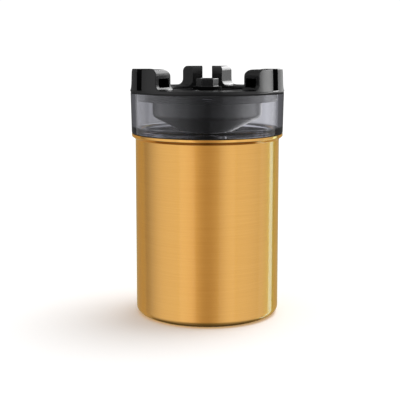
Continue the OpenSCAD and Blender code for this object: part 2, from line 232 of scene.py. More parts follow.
def smooth_by_angle(mesh, degrees):
    """Smooth shading, with edges sharper than the angle left sharp"""
    mesh.shade_smooth()
    mesh.set_sharp_from_angle(angle=math.radians(degrees))


def placed(name, data):
    """A new object in the scene"""
    thing = bpy.data.objects.new(name, data)
    bpy.context.scene.collection.objects.link(thing)
    return thing


def piece(node, body, shape, materials, sharp=SHARP_ANGLE, normals=None):
    """Makes a detailed piece that stands for a CAD node and rides on its body"""
    vertices, faces = shape
    mesh = bpy.data.meshes.new(node + "_detail")
    mesh.from_pydata((np.asarray(vertices) * MM).tolist(), [], faces)
    mesh.validate()
    if normals is None:
        work = bmesh.new()
        work.from_mesh(mesh)
        bmesh.ops.recalc_face_normals(work, faces=work.faces)
        work.to_mesh(mesh)
        work.free()
        smooth_by_angle(mesh, sharp)
    else:
        mesh.shade_smooth()
        mesh.normals_split_custom_set_from_vertices(normals.tolist())
    for material in materials:
        mesh.materials.append(material)
    thing = placed(node + "_detail", mesh)
    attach(thing, body)
    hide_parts(node)
    return thing


def face_centres(thing):
    """The middles of a piece's faces in millimetres, as x, y and z"""
    centres = np.empty(3 * len(thing.data.polygons), np.float32)
    thing.data.polygons.foreach_get("center", centres)
    return centres.reshape(-1, 3).astype(float).T / MM


def paint(thing, numbers):
    """Gives each face the material with its number"""
    thing.data.polygons.foreach_set("material_index", numbers.astype(np.int32))
    thing.data.update()


# ---------- Solids as distance fields, in millimetres ----------

PROJECTION_STEPS = 4
FLATTEST_SLOPE = 0.25


def round_max(a, b, radius):
    """Intersection of two distances with a rounded edge"""
    return np.minimum(np.maximum(a, b), -radius) + np.hypot(
        np.maximum(a + radius, 0), np.maximum(b + radius, 0))


def round_min(a, b, radius):
    """Union of two distances with a filleted corner"""
    return -round_max(-a, -b, radius)


def disc_field(x, y, z, z_low, z_high, radius, edge):
    """An upright disc with rounded edges"""
    middle = (z_low + z_high) / 2
    return round_max(np.hypot(x, y) - radius, np.abs(z - middle) - (z_high - z_low) / 2, edge)


def hexagon_field(x, y, across_flats, edge):
    """A hexagon's distance in plan, with a flat face on -Y and rounded corners"""
    out = np.abs(y) - across_flats / 2
    for angle in (30, 150):
        c, s = math.cos(math.radians(angle)), math.sin(math.radians(angle))
        out = round_max(out, np.abs(x * c + y * s) - across_flats / 2, edge)
    return out


def net_axis(cells, axis, wraps):
    """A quad of four cells round each grid edge that crosses the surface along an axis"""
    inside, ids = cells
    first = [slice(None)] * 3
    second = [slice(None)] * 3
    first[axis], second[axis] = slice(None, -1), slice(1, None)
    a, b = inside[tuple(first)], inside[tuple(second)]
    found = np.argwhere(a != b)
    out_of = a[tuple(found.T)]
    u, w = [k for k in range(3) if k != axis]
    ok = np.ones(len(found), bool)
    for k in (u, w):
        if wraps and k == 1:
            ok &= found[:, k] < ids.shape[1]
        else:
            ok &= (found[:, k] > 0) & (found[:, k] < ids.shape[k])
    found, out_of = found[ok], out_of[ok]
    quad = []
    for du, dw in ((-1, -1), (0, -1), (0, 0), (-1, 0)):
        cell = found.copy()
        cell[:, u] += du
        cell[:, w] += dw
        if wraps:
            cell[:, 1] %= ids.shape[1]
        quad.append(ids[tuple(cell.T)])
    quad = np.stack(quad, 1)
    flip = out_of != (axis == Y)
    quad[~flip] = quad[~flip][:, ::-1]
    return quad


def surface_net(values, wraps=False):
    """Vertices in grid steps, and quads, of a field's zero surface; axis 1 may wrap round"""
    if wraps:
        values = np.concatenate([values, values[:, :1]], 1)
    inside = values < 0
    corners = np.array([(i, j, k) for i in (0, 1) for j in (0, 1) for k in (0, 1)])
    size = np.array(values.shape) - 1
    count = sum(inside[i:i + size[0], j:j + size[1], k:k + size[2]].astype(int) for i, j, k in corners)
    active = (count > 0) & (count < 8)
    cells = np.argwhere(active)
    ids = np.full(active.shape, -1)
    ids[active] = np.arange(len(cells))
    at = [values[tuple((cells + corner).T)] for corner in corners]
    total, hits = np.zeros((len(cells), 3)), np.zeros(len(cells))
    for p in range(8):
        for q in range(p + 1, 8):
            if np.abs(corners[p] - corners[q]).sum() != 1:
                continue
            cut = (at[p] < 0) != (at[q] < 0)
            share = np.where(cut, at[p] / np.where(cut, at[p] - at[q], 1), 0)
            total += cut[:, None] * (corners[p] + share[:, None] * (corners[q] - corners[p]))
            hits += cut
    quads = np.concatenate([net_axis((inside, ids), axis, wraps) for axis in range(3)])
    return cells + total / hits[:, None], quads


def slope(field, points, step=0.02):
    """Gradient of a field at points"""
    out = np.zeros_like(points)
    for axis in range(3):
        shift = np.zeros(3)
        shift[axis] = step
        out[:, axis] = (field(*(points + shift).T) - field(*(points - shift).T)) / (2 * step)
    return out


def solid(field, corner_low, corner_high, cell, polar=0):
    """Vertices, faces and normals of a distance field. With polar steps the corners are (r, 0, z)."""
    counts = [int(round((b - a) / cell)) + 1 for a, b in zip(corner_low, corner_high)]
    axes = [np.linspace(a, b, n) for a, b, n in zip(corner_low, corner_high, counts)]
    if polar:
        axes[1] = np.arange(polar) * 2 * math.pi / polar
    grid = np.meshgrid(*axes, indexing="ij")
    if polar:
        values = field(grid[0] * np.cos(grid[1]), grid[0] * np.sin(grid[1]), grid[2])
    else:
        values = field(*grid)
    points, quads = surface_net(values, wraps=bool(polar))
    steps = [axis[1] - axis[0] for axis in axes]
    points = np.array([axis[0] for axis in axes]) + points * np.array(steps)
    if polar:
        radius, angle = points[:, 0].copy(), points[:, 1].copy()
        points[:, 0], points[:, 1] = radius * np.cos(angle), radius * np.sin(angle)
    for _ in range(PROJECTION_STEPS):
        gradient = slope(field, points)
        length = np.maximum((gradient ** 2).sum(1), FLATTEST_SLOPE)
        move = np.clip(field(*points.T) / length, -cell / 2, cell / 2)
        points = points - gradient * move[:, None]
    gradient = slope(field, points)
    normals = gradient / np.maximum(np.linalg.norm(gradient, axis=1), 1e-9)[:, None]
    return points, [tuple(q) for q in quads.tolist()], normals


# ---------- Materials ----------

NOISE_LOW, NOISE_HIGH = 0.3, 0.7            # the band that most of a noise pattern lies in


def new_material(name, sockets):
    """A Principled material with these constant socket values"""
    material = bpy.data.materials.new(name)
    material.use_nodes = True
    shader = material.node_tree.nodes["Principled BSDF"]
    for socket, value in sockets.items():
        shader.inputs[socket].default_value = value
    return material


def grain(material, waves, detail=3.0, roughness=0.55):
    """Noise in the piece's own space, with this many waves per metre along x, y and z"""
    nodes, links = material.node_tree.nodes, material.node_tree.links
    coordinates = nodes.new("ShaderNodeTexCoord")
    mapping = nodes.new("ShaderNodeMapping")
    mapping.inputs["Scale"].default_value = waves
    noise = nodes.new("ShaderNodeTexNoise")
    noise.inputs["Scale"].default_value = 1
    noise.inputs["Detail"].default_value = detail
    noise.inputs["Roughness"].default_value = roughness
    links.new(coordinates.outputs["Object"], mapping.inputs["Vector"])
    links.new(mapping.outputs["Vector"], noise.inputs["Vector"])
    return noise.outputs["Fac"]


def vary(material, pattern, socket, least, most):
    """Drives a number socket of the shader from a pattern"""
    nodes, links = material.node_tree.nodes, material.node_tree.links
    between = nodes.new("ShaderNodeMapRange")
    between.inputs["From Min"].default_value = NOISE_LOW
    between.inputs["From Max"].default_value = NOISE_HIGH
    between.inputs["To Min"].default_value = least
    between.inputs["To Max"].default_value = most
    links.new(pattern, between.inputs["Value"])
    links.new(between.outputs["Result"], nodes["Principled BSDF"].inputs[socket])


def tint(material, pattern, one, other):
    """Varies the base colour between two colours"""
    nodes, links = material.node_tree.nodes, material.node_tree.links
    ramp = nodes.new("ShaderNodeValToRGB")
    ramp.color_ramp.elements[0].position = NOISE_LOW
    ramp.color_ramp.elements[0].color = (*one, 1)
    ramp.color_ramp.elements[1].position = NOISE_HIGH
    ramp.color_ramp.elements[1].color = (*other, 1)
    links.new(pattern, ramp.inputs["Fac"])
    links.new(ramp.outputs["Color"], nodes["Principled BSDF"].inputs["Base Color"])


def bump(material, pattern, depth_mm, strength=1.0):
    """Raises the surface by a pattern"""
    nodes, links = material.node_tree.nodes, material.node_tree.links
    relief = nodes.new("ShaderNodeBump")
    relief.inputs["Distance"].default_value = depth_mm * MM
    relief.inputs["Strength"].default_value = strength
    links.new(pattern, relief.inputs["Height"])
    links.new(relief.outputs["Normal"], nodes["Principled BSDF"].inputs["Normal"])


def gold(name, least, most):
    """Gold-coloured brushed metal under a clear lacquer"""
    material = new_material(name, {
        "Metallic": 1.0, "Specular Tint": (0.86, 0.58, 0.20, 1), "Coat Weight": 1.0, "Coat Roughness": 0.1,
        "Coat IOR": 1.6})
    brushed = grain(material, (45, 45, 2600), detail=4)
    tint(material, brushed, (0.93, 0.470, 0.085), (0.99, 0.53, 0.105))
    vary(material, brushed, "Roughness", least, most)
    bump(material, grain(material, (900, 900, 3000), detail=2), 0.012, 0.5)
    return material


def bare_steel():
    """Drawn steel, as on the inside of the sleeve"""
    material = new_material("drawn_steel", {"Metallic": 1.0})
    drawn = grain(material, (300, 300, 25))
    tint(material, drawn, (0.45, 0.45, 0.44), (0.56, 0.55, 0.54))
    vary(material, drawn, "Roughness", 0.3, 0.42)
    bump(material, drawn, 0.01, 0.4)
    return material


def smoky_glass():
    """Clear moulded glass with a faint blue-grey tint in its thickness"""
    material = new_material("smoky_glass", {
        "Base Color": (1, 1, 1, 1), "Roughness": 0.0, "IOR": 1.46, "Transmission Weight": 1.0})
    nodes, links = material.node_tree.nodes, material.node_tree.links
    tinted = nodes.new("ShaderNodeVolumeAbsorption")
    tinted.inputs["Color"].default_value = (0.20, 0.22, 0.60, 1)
    tinted.inputs["Density"].default_value = 40
    links.new(tinted.outputs["Volume"], nodes["Material Output"].inputs["Volume"])
    bump(material, grain(material, (60, 60, 40), detail=1), 0.02, 0.15)
    return material


def moulded(name, colour, least, most, texture_mm, waves=2200):
    """Moulded plastic or rubber with a fine even texture"""
    material = new_material(name, {"Specular IOR Level": 0.5})
    clouds = grain(material, (120, 120, 120))
    tint(material, clouds, tuple(0.85 * c for c in colour), tuple(1.15 * c for c in colour))
    vary(material, clouds, "Roughness", least, most)
    bump(material, grain(material, (waves,) * 3, detail=2), texture_mm, 0.5)
    return material


def painted_recess_shade():
    """Painted shade: a darker, nearly unreflecting black for the inside of slots and pockets, where shade
    falls
    """
    material = new_material("painted_shade_plastic", {"Specular IOR Level": 0.06})
    clouds = grain(material, (160, 160, 160))
    tint(material, clouds, (0.0015, 0.0015, 0.0016), (0.003, 0.003, 0.0032))
    vary(material, clouds, "Roughness", 0.8, 0.95)
    bump(material, grain(material, (2400,) * 3, detail=2), 0.01, 0.5)
    return material


def brushed(name, colour, waves, least=0.22, most=0.36):
    """Bright metal with tool marks along the directions that have few waves"""
    material = new_material(name, {"Metallic": 1.0})
    marks = grain(material, waves, detail=5)
    tint(material, marks, tuple(0.86 * c for c in colour), colour)
    vary(material, marks, "Roughness", least, most)
    bump(material, marks, 0.01, 0.6)
    return material


def porous_bronze():
    """Oil-filled sintered bronze"""
    material = new_material("sintered_bronze_grain", {"Metallic": 0.9})
    pores = grain(material, (2600, 2600, 2600), detail=4, roughness=0.7)
    tint(material, pores, (0.22, 0.11, 0.045), (0.52, 0.29, 0.13))
    vary(material, pores, "Roughness", 0.55, 0.35)
    bump(material, pores, 0.04, 0.8)
    return material


def closed_cell_foam():
    """Matt grey foam with fine cells"""
    material = new_material("closed_cell_foam", {"Roughness": 0.9, "Specular IOR Level": 0.3})
    nodes, links = material.node_tree.nodes, material.node_tree.links
    coordinates = nodes.new("ShaderNodeTexCoord")
    cells = nodes.new("ShaderNodeTexVoronoi")
    cells.inputs["Scale"].default_value = 1400
    links.new(coordinates.outputs["Object"], cells.inputs["Vector"])
    tint(material, cells.outputs["Distance"], (0.10, 0.10, 0.105), (0.24, 0.24, 0.25))
    bump(material, cells.outputs["Distance"], 0.15, 0.8)
    return material


GOLD = gold("satin_gold", 0.29, 0.36)
GOLD_RIM = gold("rolled_gold_rim", 0.14, 0.20)
STEEL_INSIDE = bare_steel()
GLASS = smoky_glass()
RING_PLASTIC = moulded("ring_plastic", (0.005, 0.005, 0.0055), 0.20, 0.27, 0.006)
# Painted shade: a darker dull black for slots, pockets and the driver's base, where shade falls
PAINTED_SHADE_BLACK = painted_recess_shade()
CARRIER_PLASTIC = moulded("carrier_plastic", (0.004, 0.004, 0.005), 0.34, 0.42, 0.0)
COUPLING_PLASTIC = moulded("coupling_plastic", (0.014, 0.014, 0.015), 0.22, 0.30, 0.006)
SILICONE = moulded("silicone_rubber", (0.012, 0.012, 0.013), 0.55, 0.65, 0.01)
FOOT_RUBBER = moulded("foot_rubber", (0.016, 0.016, 0.017), 0.7, 0.85, 0.05, waves=1200)
RED_SEAL = moulded("red_seal_rubber", (0.32, 0.035, 0.02), 0.5, 0.6, 0.01)
PTFE = moulded("ptfe", (0.70, 0.68, 0.60), 0.4, 0.5, 0.01)
TURNED_STEEL = brushed("turned_steel", (0.62, 0.61, 0.59), (60, 60, 3000))
GROUND_STEEL = brushed("ground_steel", (0.66, 0.65, 0.63), (90, 90, 90), 0.16, 0.24)
BLADE_STEEL = brushed("blade_steel", (0.63, 0.63, 0.62), (80, 1800, 1800), 0.24, 0.36)
CROSS_BLADE_STEEL = brushed("cross_blade_steel", (0.63, 0.63, 0.62), (1800, 80, 1800), 0.24, 0.36)
SPRING_STEEL = brushed("blackened_spring_steel", (0.16, 0.16, 0.17), (700, 700, 700), 0.3, 0.42)
BRONZE = porous_bronze()
FOAM = closed_cell_foam()


# ---------- Jar ----------

def metal_sleeve():
    """Drawn sleeve with a rounded base, a recess under it for the foot pad, and a rolled rim"""
    seat_r, seat_z = RIM_R - SLEEVE_T, RIM_Z - 1.1
    flare_z, flare_top_z = RIM_Z - 2.8, RIM_Z - 1.4
    bore_r, bore_top_z = SLEEVE_R - SLEEVE_T, RIM_Z - 3.0
    recess_r, recess_z = SLEEVE_R - 4.2, 1.4
    polished_z = RIM_Z - 2.6
    gold_number, steel_number, rim_number = range(3)
    outline = rounded([
        (0, recess_z, 0), (recess_r, recess_z, 0.3), (recess_r, FOOT_Z, 0.3),
        (SLEEVE_R, FOOT_Z, BASE_ROUND), (SLEEVE_R, flare_z, 0.6), (RIM_R, flare_top_z, 0.8),
        (RIM_R, RIM_Z, 0.3), (seat_r, RIM_Z, 0.25), (seat_r, seat_z, 0.4),
        (bore_r, bore_top_z, 0.8), (bore_r, recess_z + SLEEVE_T, BASE_ROUND - SLEEVE_T),
        (0, recess_z + SLEEVE_T, 0)])
    thing = piece("metal_sleeve", "jar", lathe(outline), [GOLD, STEEL_INSIDE, GOLD_RIM])
    x, y, z = face_centres(thing)
    inside = (np.hypot(x, y) < bore_r + 0.1) & (z > recess_z + SLEEVE_T / 2)
    paint(thing, np.where(z > polished_z, rim_number, np.where(inside, steel_number, gold_number)))
    return thing


def soft_step(value, edge, width):
    """1 within the edge, falling smoothly to 0 over a width"""
    t = np.clip((edge + width - value) / width, 0, 1)
    return t * t * (3 - 2 * t)


def with_lugs(radii, degrees, height):
    """Three lugs on the inside of the collar"""
    depth, half_height, rise = 0.6, 0.4, 0.5
    half_angle, rise_angle = 1.5, 6
    inner_wall = (radii > JAR_BORE_R + 3) & (radii < COLLAR_R - 1.5)
    share = soft_step(abs(height - LUG_Z), half_height, rise)
    for lug in LUG_ANGLES:
        off = np.abs((degrees - lug + 180) % 360 - 180)
        radii = radii - inner_wall * depth * share * soft_step(off, half_angle, rise_angle)
    return radii


def glass_jar():
    """Jar with a wide clear collar that stands on the sleeve's rim"""
    floor_z = JAR_Z + 3.5
    shoulder_z = COLLAR_Z + 2.2
    outline = rounded([
        (0, JAR_Z, 0), (JAR_R, JAR_Z, 4), (JAR_R, JAR_SEAT_Z - (JAR_SEAT_R - JAR_R), 1.5),
        (JAR_SEAT_R, JAR_SEAT_Z, 0.3), (JAR_SEAT_R, COLLAR_Z, 0), (COLLAR_LOW_R, COLLAR_Z, 0.4),
        (COLLAR_R, COLLAR_TOP_Z, 0.3), (COLLAR_R - COLLAR_WALL, COLLAR_TOP_Z, 0.3),
        (COLLAR_LOW_R - COLLAR_WALL + 0.3, shoulder_z, 1.5), (JAR_BORE_R, shoulder_z, 1.2),
        (JAR_BORE_R, floor_z, 5), (0, floor_z, 0)])
    outline = rows_between(outline, LUG_Z - 1.5, LUG_Z + 1.5, 0.15)
    return piece("glass_jar", "jar", lathe(outline, shape=with_lugs), [GLASS], sharp=50)


def rim_gasket():
    """Conical gasket between rim and jar; only its lip shows"""
    clear = 0.02
    inner_r = JAR_SEAT_R + clear
    outer_r = RIM_R - SLEEVE_T - clear
    lip_r = COLLAR_R - 0.65
    outline = rounded([
        (inner_r, JAR_SEAT_Z, 0), (outer_r, JAR_SEAT_Z + 0.1, 0), (outer_r, RIM_Z + clear, 0),
        (lip_r, RIM_Z + clear, 0.1), (lip_r, COLLAR_Z - clear, 0.1),
        (inner_r, COLLAR_Z - clear, 0)], steps=3)
    return piece("rim_gasket", "jar", lathe(outline), [SILICONE])


def foot_pad():
    """Rubber pad under the base, with shallow rings moulded in its face"""
    outer, thick = high("foot_pad", X), high("foot_pad")
    ring_count, first_ring, ring_pitch, ring_depth, edge = 8, 3, 3.6, 0.35, 0.12
    corners = [(0, thick, 0), (0, 0, 0)]
    for i in range(ring_count):
        start = first_ring + i * ring_pitch
        corners += [(start, 0, edge), (start + 0.4, ring_depth, edge),
                    (start + 1.2, ring_depth, edge), (start + 1.6, 0, edge)]
    corners += [(outer, 0, 0.4), (outer, thick, 0.2)]
    return piece("foot_pad", "jar", lathe(rounded(corners, steps=3)), [FOOT_RUBBER])


def carrier_seal():
    """Flat ring that the carrier presses on the collar"""
    outer, inner = high("carrier_seal", X), NECK_R + 0.1
    z_low, z_high = low("carrier_seal"), high("carrier_seal")
    outline = rounded([(inner, z_low, 0.15), (outer, z_low, 0.2), (outer, z_high, 0.2),
                       (inner, z_high, 0.15)], steps=4)
    return piece("carrier_seal", "seal", lathe(outline), [SILICONE])


# ---------- Carrier ----------

def tab_ends(x, y):
    """Distance beyond the end planes of the nearest tab, and across that tab's middle plane"""
    flare = math.radians(TAB_FLARE)
    half = math.radians(TAB_HALF_ANGLE)
    apex = TAB_R * (math.cos(half) - math.sin(half) / math.tan(flare))
    ends, across = np.inf, np.inf
    for tab in TAB_ANGLES:
        c, s = math.cos(math.radians(tab)), math.sin(math.radians(tab))
        along, aside = x * c + y * s, np.abs(y * c - x * s)
        ends = np.minimum(ends, aside * math.cos(flare) - (along - apex) * math.sin(flare))
        across = np.minimum(across, np.maximum(aside, -along))
    return ends, across


def past_pocket_wall(x, y):
    """Distance from a pocket's inner wall, on either side of the ring; negative is in the pocket"""
    wall = math.radians(POCKET_WALL_ANGLE)
    return np.abs(x) * math.cos(wall) + y * math.sin(wall)


def bayonet_ring_field(x, y, z):
    """Castellated ring: three slotted tabs on a flat ring, two of them with a pocket in one end"""
    tab_round, inner_round, edge, fine_edge = 3.0, 4.0, 0.32, 0.15
    level = TAB_TOP_Z + 0.29 * edge
    radius = np.hypot(x, y)
    ends, across = tab_ends(x, y)
    rise = np.clip((z - TAB_FOOT_Z) / (TAB_TOP_Z - TAB_FOOT_Z), 0, 1)
    outer = radius - (TAB_R - TAB_DRAFT * rise)
    inner = round_max(TAB_INNER_R - radius, z - level, inner_round)
    body = round_min(round_max(ends, z - level, tab_round), z - TAB_FOOT_Z, tab_round)
    body = round_max(round_max(body, outer, edge), inner, edge)
    walls = np.maximum(radius - RING_R, TAB_INNER_R - radius)
    band = round_max(walls, z - RING_Z - RING_BAND_H, fine_edge)
    body = round_min(body, band, fine_edge)
    pocket = np.maximum(round_max(POCKET_INNER_R - radius, z - POCKET_TOP_Z, 2.6),
                        round_max(POCKET_LOW_Z - z, radius - POCKET_OUTER_R, 0.4))
    pocket = np.maximum(pocket, past_pocket_wall(x, y))
    body = round_max(body, -pocket, 0.25)
    slots = np.maximum(across - SLOT_HALF, SLOT_FLOOR_Z - z)
    body = round_max(body, -slots, edge)
    for tab in TAB_ANGLES:
        c, s = math.cos(math.radians(tab)), math.sin(math.radians(tab))
        from_screw = np.hypot(x - SCREW_RING_R * c, y - SCREW_RING_R * s)
        counterbore = np.maximum(from_screw - COUNTERBORE_R, COUNTERBORE_Z - z)
        body = np.maximum(body, -counterbore)
    return round_max(body, RING_Z - z, 0.2)


def painted_shade_faces(x, y, z):
    """Which points of the ring's surface lie in a slot or a pocket, where shade is painted"""
    _, across = tab_ends(x, y)
    radius = np.hypot(x, y)
    margin = 0.2
    in_slot = (across < SLOT_HALF + 0.15) & (z > SLOT_FLOOR_Z - margin)
    in_pocket = ((past_pocket_wall(x, y) < margin / 2)
                 & (radius > POCKET_INNER_R - margin) & (radius < POCKET_OUTER_R + margin)
                 & (z > POCKET_LOW_Z - margin) & (z < POCKET_TOP_Z + margin))
    return in_slot | in_pocket


def bayonet_ring():
    """The ring as a fine net round its axis, with painted shade (a darker dull black) in its slots and
    pockets
    """
    cell, polar_steps = 0.36, 600
    vertices, faces, normals = solid(
        bayonet_ring_field, (TAB_INNER_R - 0.5, 0, RING_Z - 0.5), (RING_R + 0.5, 0, TAB_TOP_Z + 0.6),
        cell, polar_steps)
    thing = piece("bayonet_ring", "carrier", (vertices, faces),
                  [RING_PLASTIC, PAINTED_SHADE_BLACK], normals=normals)
    # Painted shade on the faces in slots and pockets
    paint(thing, painted_shade_faces(*face_centres(thing)))
    return thing


def with_ramps(radii, degrees, height):
    """Smooth ramps in the flange, which the glass lugs follow"""
    depth, half_height, rise = 0.35, 0.75, 0.35
    middle_angle, half_angle, rise_angle = 48, 56, 3
    rim = radii > FLANGE_R - 0.6
    for lug in LUG_ANGLES:
        back = (lug - degrees) % 360
        back = np.where(back > 300, back - 360, back)
        centre = LUG_Z - THREAD_LEAD * np.clip(back, 0, 110) / 360
        across = soft_step(np.abs(height - centre), half_height, rise)
        along = soft_step(np.abs(back - middle_angle), half_angle, rise_angle)
        radii = radii - rim * depth * across * along
    return radii


def blade_carrier():
    """Flange, well, cone, hub and webs in one moulding"""
    slant = math.tan(math.radians(CONE_ANGLE))
    turn = math.tan(math.radians((90 - CONE_ANGLE) / 2))
    outside_round, inside_round = 3.0, 1.5
    bend_z = WELL_TURN_Z - outside_round * turn
    inner_r = WELL_R - WELL_T
    inner_bend_z = WELL_TURN_Z - inside_round * turn
    tower_foot_z = inner_bend_z - (inner_r - TOWER_R) * slant
    counterbore_r, counterbore_z = HUB_BORE_R + 2, HUB_Z + 4
    outline = rounded([
        (counterbore_r, HUB_Z, 0.3), (HUB_R, HUB_Z, 0.6), (HUB_R, bend_z - (WELL_R - HUB_R) * slant, 0.8),
        (WELL_R, bend_z, outside_round), (WELL_R, FLANGE_Z, 0.8), (FLANGE_R, FLANGE_Z, 0.3),
        (FLANGE_R, FLANGE_TOP_Z, 0.15), (NECK_R, FLANGE_TOP_Z, 0), (NECK_R, RING_Z, 0),
        (inner_r, RING_Z, 0.5), (inner_r, inner_bend_z, inside_round), (TOWER_R, tower_foot_z, 1.2),
        (TOWER_R, TOWER_TOP_Z, 0.4), (HUB_BORE_R, TOWER_TOP_Z, 0.3), (HUB_BORE_R, counterbore_z, 0),
        (counterbore_r, counterbore_z, 0)])
    outline = rows_between(outline, FLANGE_Z, COLLAR_TOP_Z, 0.2)
    parts = [lathe(outline, steps=240, shape=with_ramps)]
    into_tower_r, into_wall_r = TOWER_R - 0.4, inner_r + 0.3
    web_profile = rounded([
        (into_tower_r, tower_foot_z - 0.4, 0), (WELL_R - 3, inner_bend_z - 1.6, 0),
        (into_wall_r, WELL_TURN_Z, 0), (into_wall_r, WEB_TOP_Z - 1.5, 0), (into_tower_r, WEB_TOP_Z, 0)])
    for i in range(WEB_COUNT):
        parts.append(web(web_profile, 30 + 360 / WEB_COUNT * i))
    return piece("blade_carrier", "carrier", joined(parts), [CARRIER_PLASTIC])


def web(profile, degrees):
    """An upright plate along a radius, with a rounded top edge"""
    half, steps = 0.8, 6
    count = len(profile)
    crown = max(up for _, up in profile) - 4
    vertices = []
    for k in range(steps + 1):
        angle = math.pi * k / steps
        aside, drop = -half * math.cos(angle), half * (1 - math.sin(angle))
        for across, up in profile:
            vertices.append((across, aside, up - (drop if up > crown else 0)))
    faces = [tuple(range(count)), tuple(reversed(range(steps * count, (steps + 1) * count)))]
    for k in range(steps):
        for i in range(count):
            j = (i + 1) % count
            faces.append((k * count + i, k * count + j, (k + 1) * count + j, (k + 1) * count + i))
    return turned(np.array(vertices), degrees), faces


def ring_screws():
    """Three pan-head screws with a cross recess"""
    z_low, top = low("ring_screws"), high("ring_screws")
    head_z = z_low + SCREW_L
    arm, half_width, reach = 1.4, 0.3, 2.6

    def field(x, y, z):
        head = disc_field(x, y, z, head_z, top, SCREW_HEAD_R, 0.55)
        cross = np.minimum(np.maximum(np.abs(x) - arm, np.abs(y) - half_width),
                           np.maximum(np.abs(y) - arm, np.abs(x) - half_width))
        head = round_max(head, -np.maximum(cross, head_z + 0.5 - z), 0.08)
        shank = np.maximum(np.hypot(x, y) - SCREW_R, np.maximum(z - head_z - 0.2, z_low - z))
        return np.minimum(head, shank)

    vertices, faces, normals = solid(
        field, (-reach, -reach, z_low - 0.3), (reach, reach, top + 0.3), 0.16)
    parts, turned_normals = [], []
    for tab in TAB_ANGLES:
        parts.append((turned(vertices + np.array((SCREW_RING_R, 0, 0)), tab), faces))
        turned_normals.append(turned(normals, tab))
    return piece("ring_screws", "carrier", joined(parts), [GROUND_STEEL],
                 normals=np.concatenate(turned_normals))


# ---------- Rotor ----------

def drive_coupling_field(x, y, z):
    """Hexagonal driver on a round base, with a recess for its screw"""
    z_low, top = low("drive_coupling"), high("drive_coupling")
    base_r, across_flats = 7.5, 10.2
    recess_r, recess_h = 3.4, 1.5
    base = disc_field(x, y, z, z_low, z_low + COUPLING_BASE_H, base_r, 0.35)
    driver = round_max(hexagon_field(x, y, across_flats, 0.5), z - top, 0.45)
    driver = np.maximum(driver, z_low + 0.5 - z)
    body = round_min(base, driver, 0.4)
    recess = np.maximum(np.hypot(x, y) - recess_r, top - recess_h - z)
    body = round_max(body, -recess, 0.2)
    return np.maximum(body, SHAFT_R - 0.1 - np.hypot(x, y))


def drive_coupling():
    """The driver, with painted shade: a darker dull black on its base below the hex"""
    reach = 8.0
    vertices, faces, normals = solid(
        drive_coupling_field, (-reach, -reach, low("drive_coupling") - 0.5),
        (reach, reach, high("drive_coupling") + 0.5), 0.2)
    thing = piece("drive_coupling", "rotor", (vertices, faces),
                  [COUPLING_PLASTIC, PAINTED_SHADE_BLACK], normals=normals)
    _, _, z = face_centres(thing)
    # Painted shade: faces of the base below the hex get the darker dull black
    paint(thing, z < low("drive_coupling") + COUPLING_BASE_H + 0.05)
    return thing


def coupling_screw():
    """Socket-head screw that holds the driver on the shaft"""
    z_low, top = low("coupling_screw"), high("coupling_screw")
    head_r, head_h, shank_r, reach = 2.8, 1.2, 1.45, 3.3
    socket_flats, socket_h = 2.25, 0.8

    def field(x, y, z):
        head = disc_field(x, y, z, top - head_h, top, head_r, 0.3)
        socket = np.maximum(hexagon_field(x, y, socket_flats, 0.1), top - socket_h - z)
        head = round_max(head, -socket, 0.08)
        shank = np.maximum(np.hypot(x, y) - shank_r, np.maximum(z - top + 0.5 * head_h, z_low - z))
        return np.minimum(head, shank)

    vertices, faces, normals = solid(field, (-reach, -reach, z_low - 0.3), (reach, reach, top + 0.3), 0.18)
    return piece("coupling_screw", "rotor", (vertices, faces), [GROUND_STEEL],
                 normals=normals)


def wing_outline():
    """Plan of one wing along +X, with a swept rounded tip"""
    tip, tip_r, tip_y = BLADE_TIP_R, 2.75, 0.85
    tip_start, tip_turn, tip_steps = -60, 150, 8
    points = [(0, -BLADE_ROOT), (BLADE_BEND_R, -BLADE_ROOT), (tip * 0.62, 0.7 - BLADE_ROOT)]
    for k in range(tip_steps + 1):
        angle = math.radians(tip_start + tip_turn * k / tip_steps)
        points.append((tip - tip_r + tip_r * math.cos(angle), tip_y + tip_r * math.sin(angle)))
    return points + [(tip * 0.55, BLADE_ROOT + 0.1), (BLADE_BEND_R, BLADE_ROOT), (0, BLADE_ROOT)]


def polygon_field(x, y, points):
    """Signed distance in plan from a closed polygon"""
    best = np.full(x.shape, 1e9)
    inside = np.zeros(x.shape, bool)
    for i, (ax, ay) in enumerate(points):
        bx, by = points[(i + 1) % len(points)]
        ex, ey = bx - ax, by - ay
        share = np.clip(((x - ax) * ex + (y - ay) * ey) / (ex * ex + ey * ey), 0, 1)
        best = np.minimum(best, np.hypot(x - ax - share * ex, y - ay - share * ey))
        if ay != by:
            crosses = ((ay > y) != (by > y)) & (x < (bx - ax) * (y - ay) / (by - ay) + ax)
            inside ^= crosses
    return np.where(inside, -best, best)


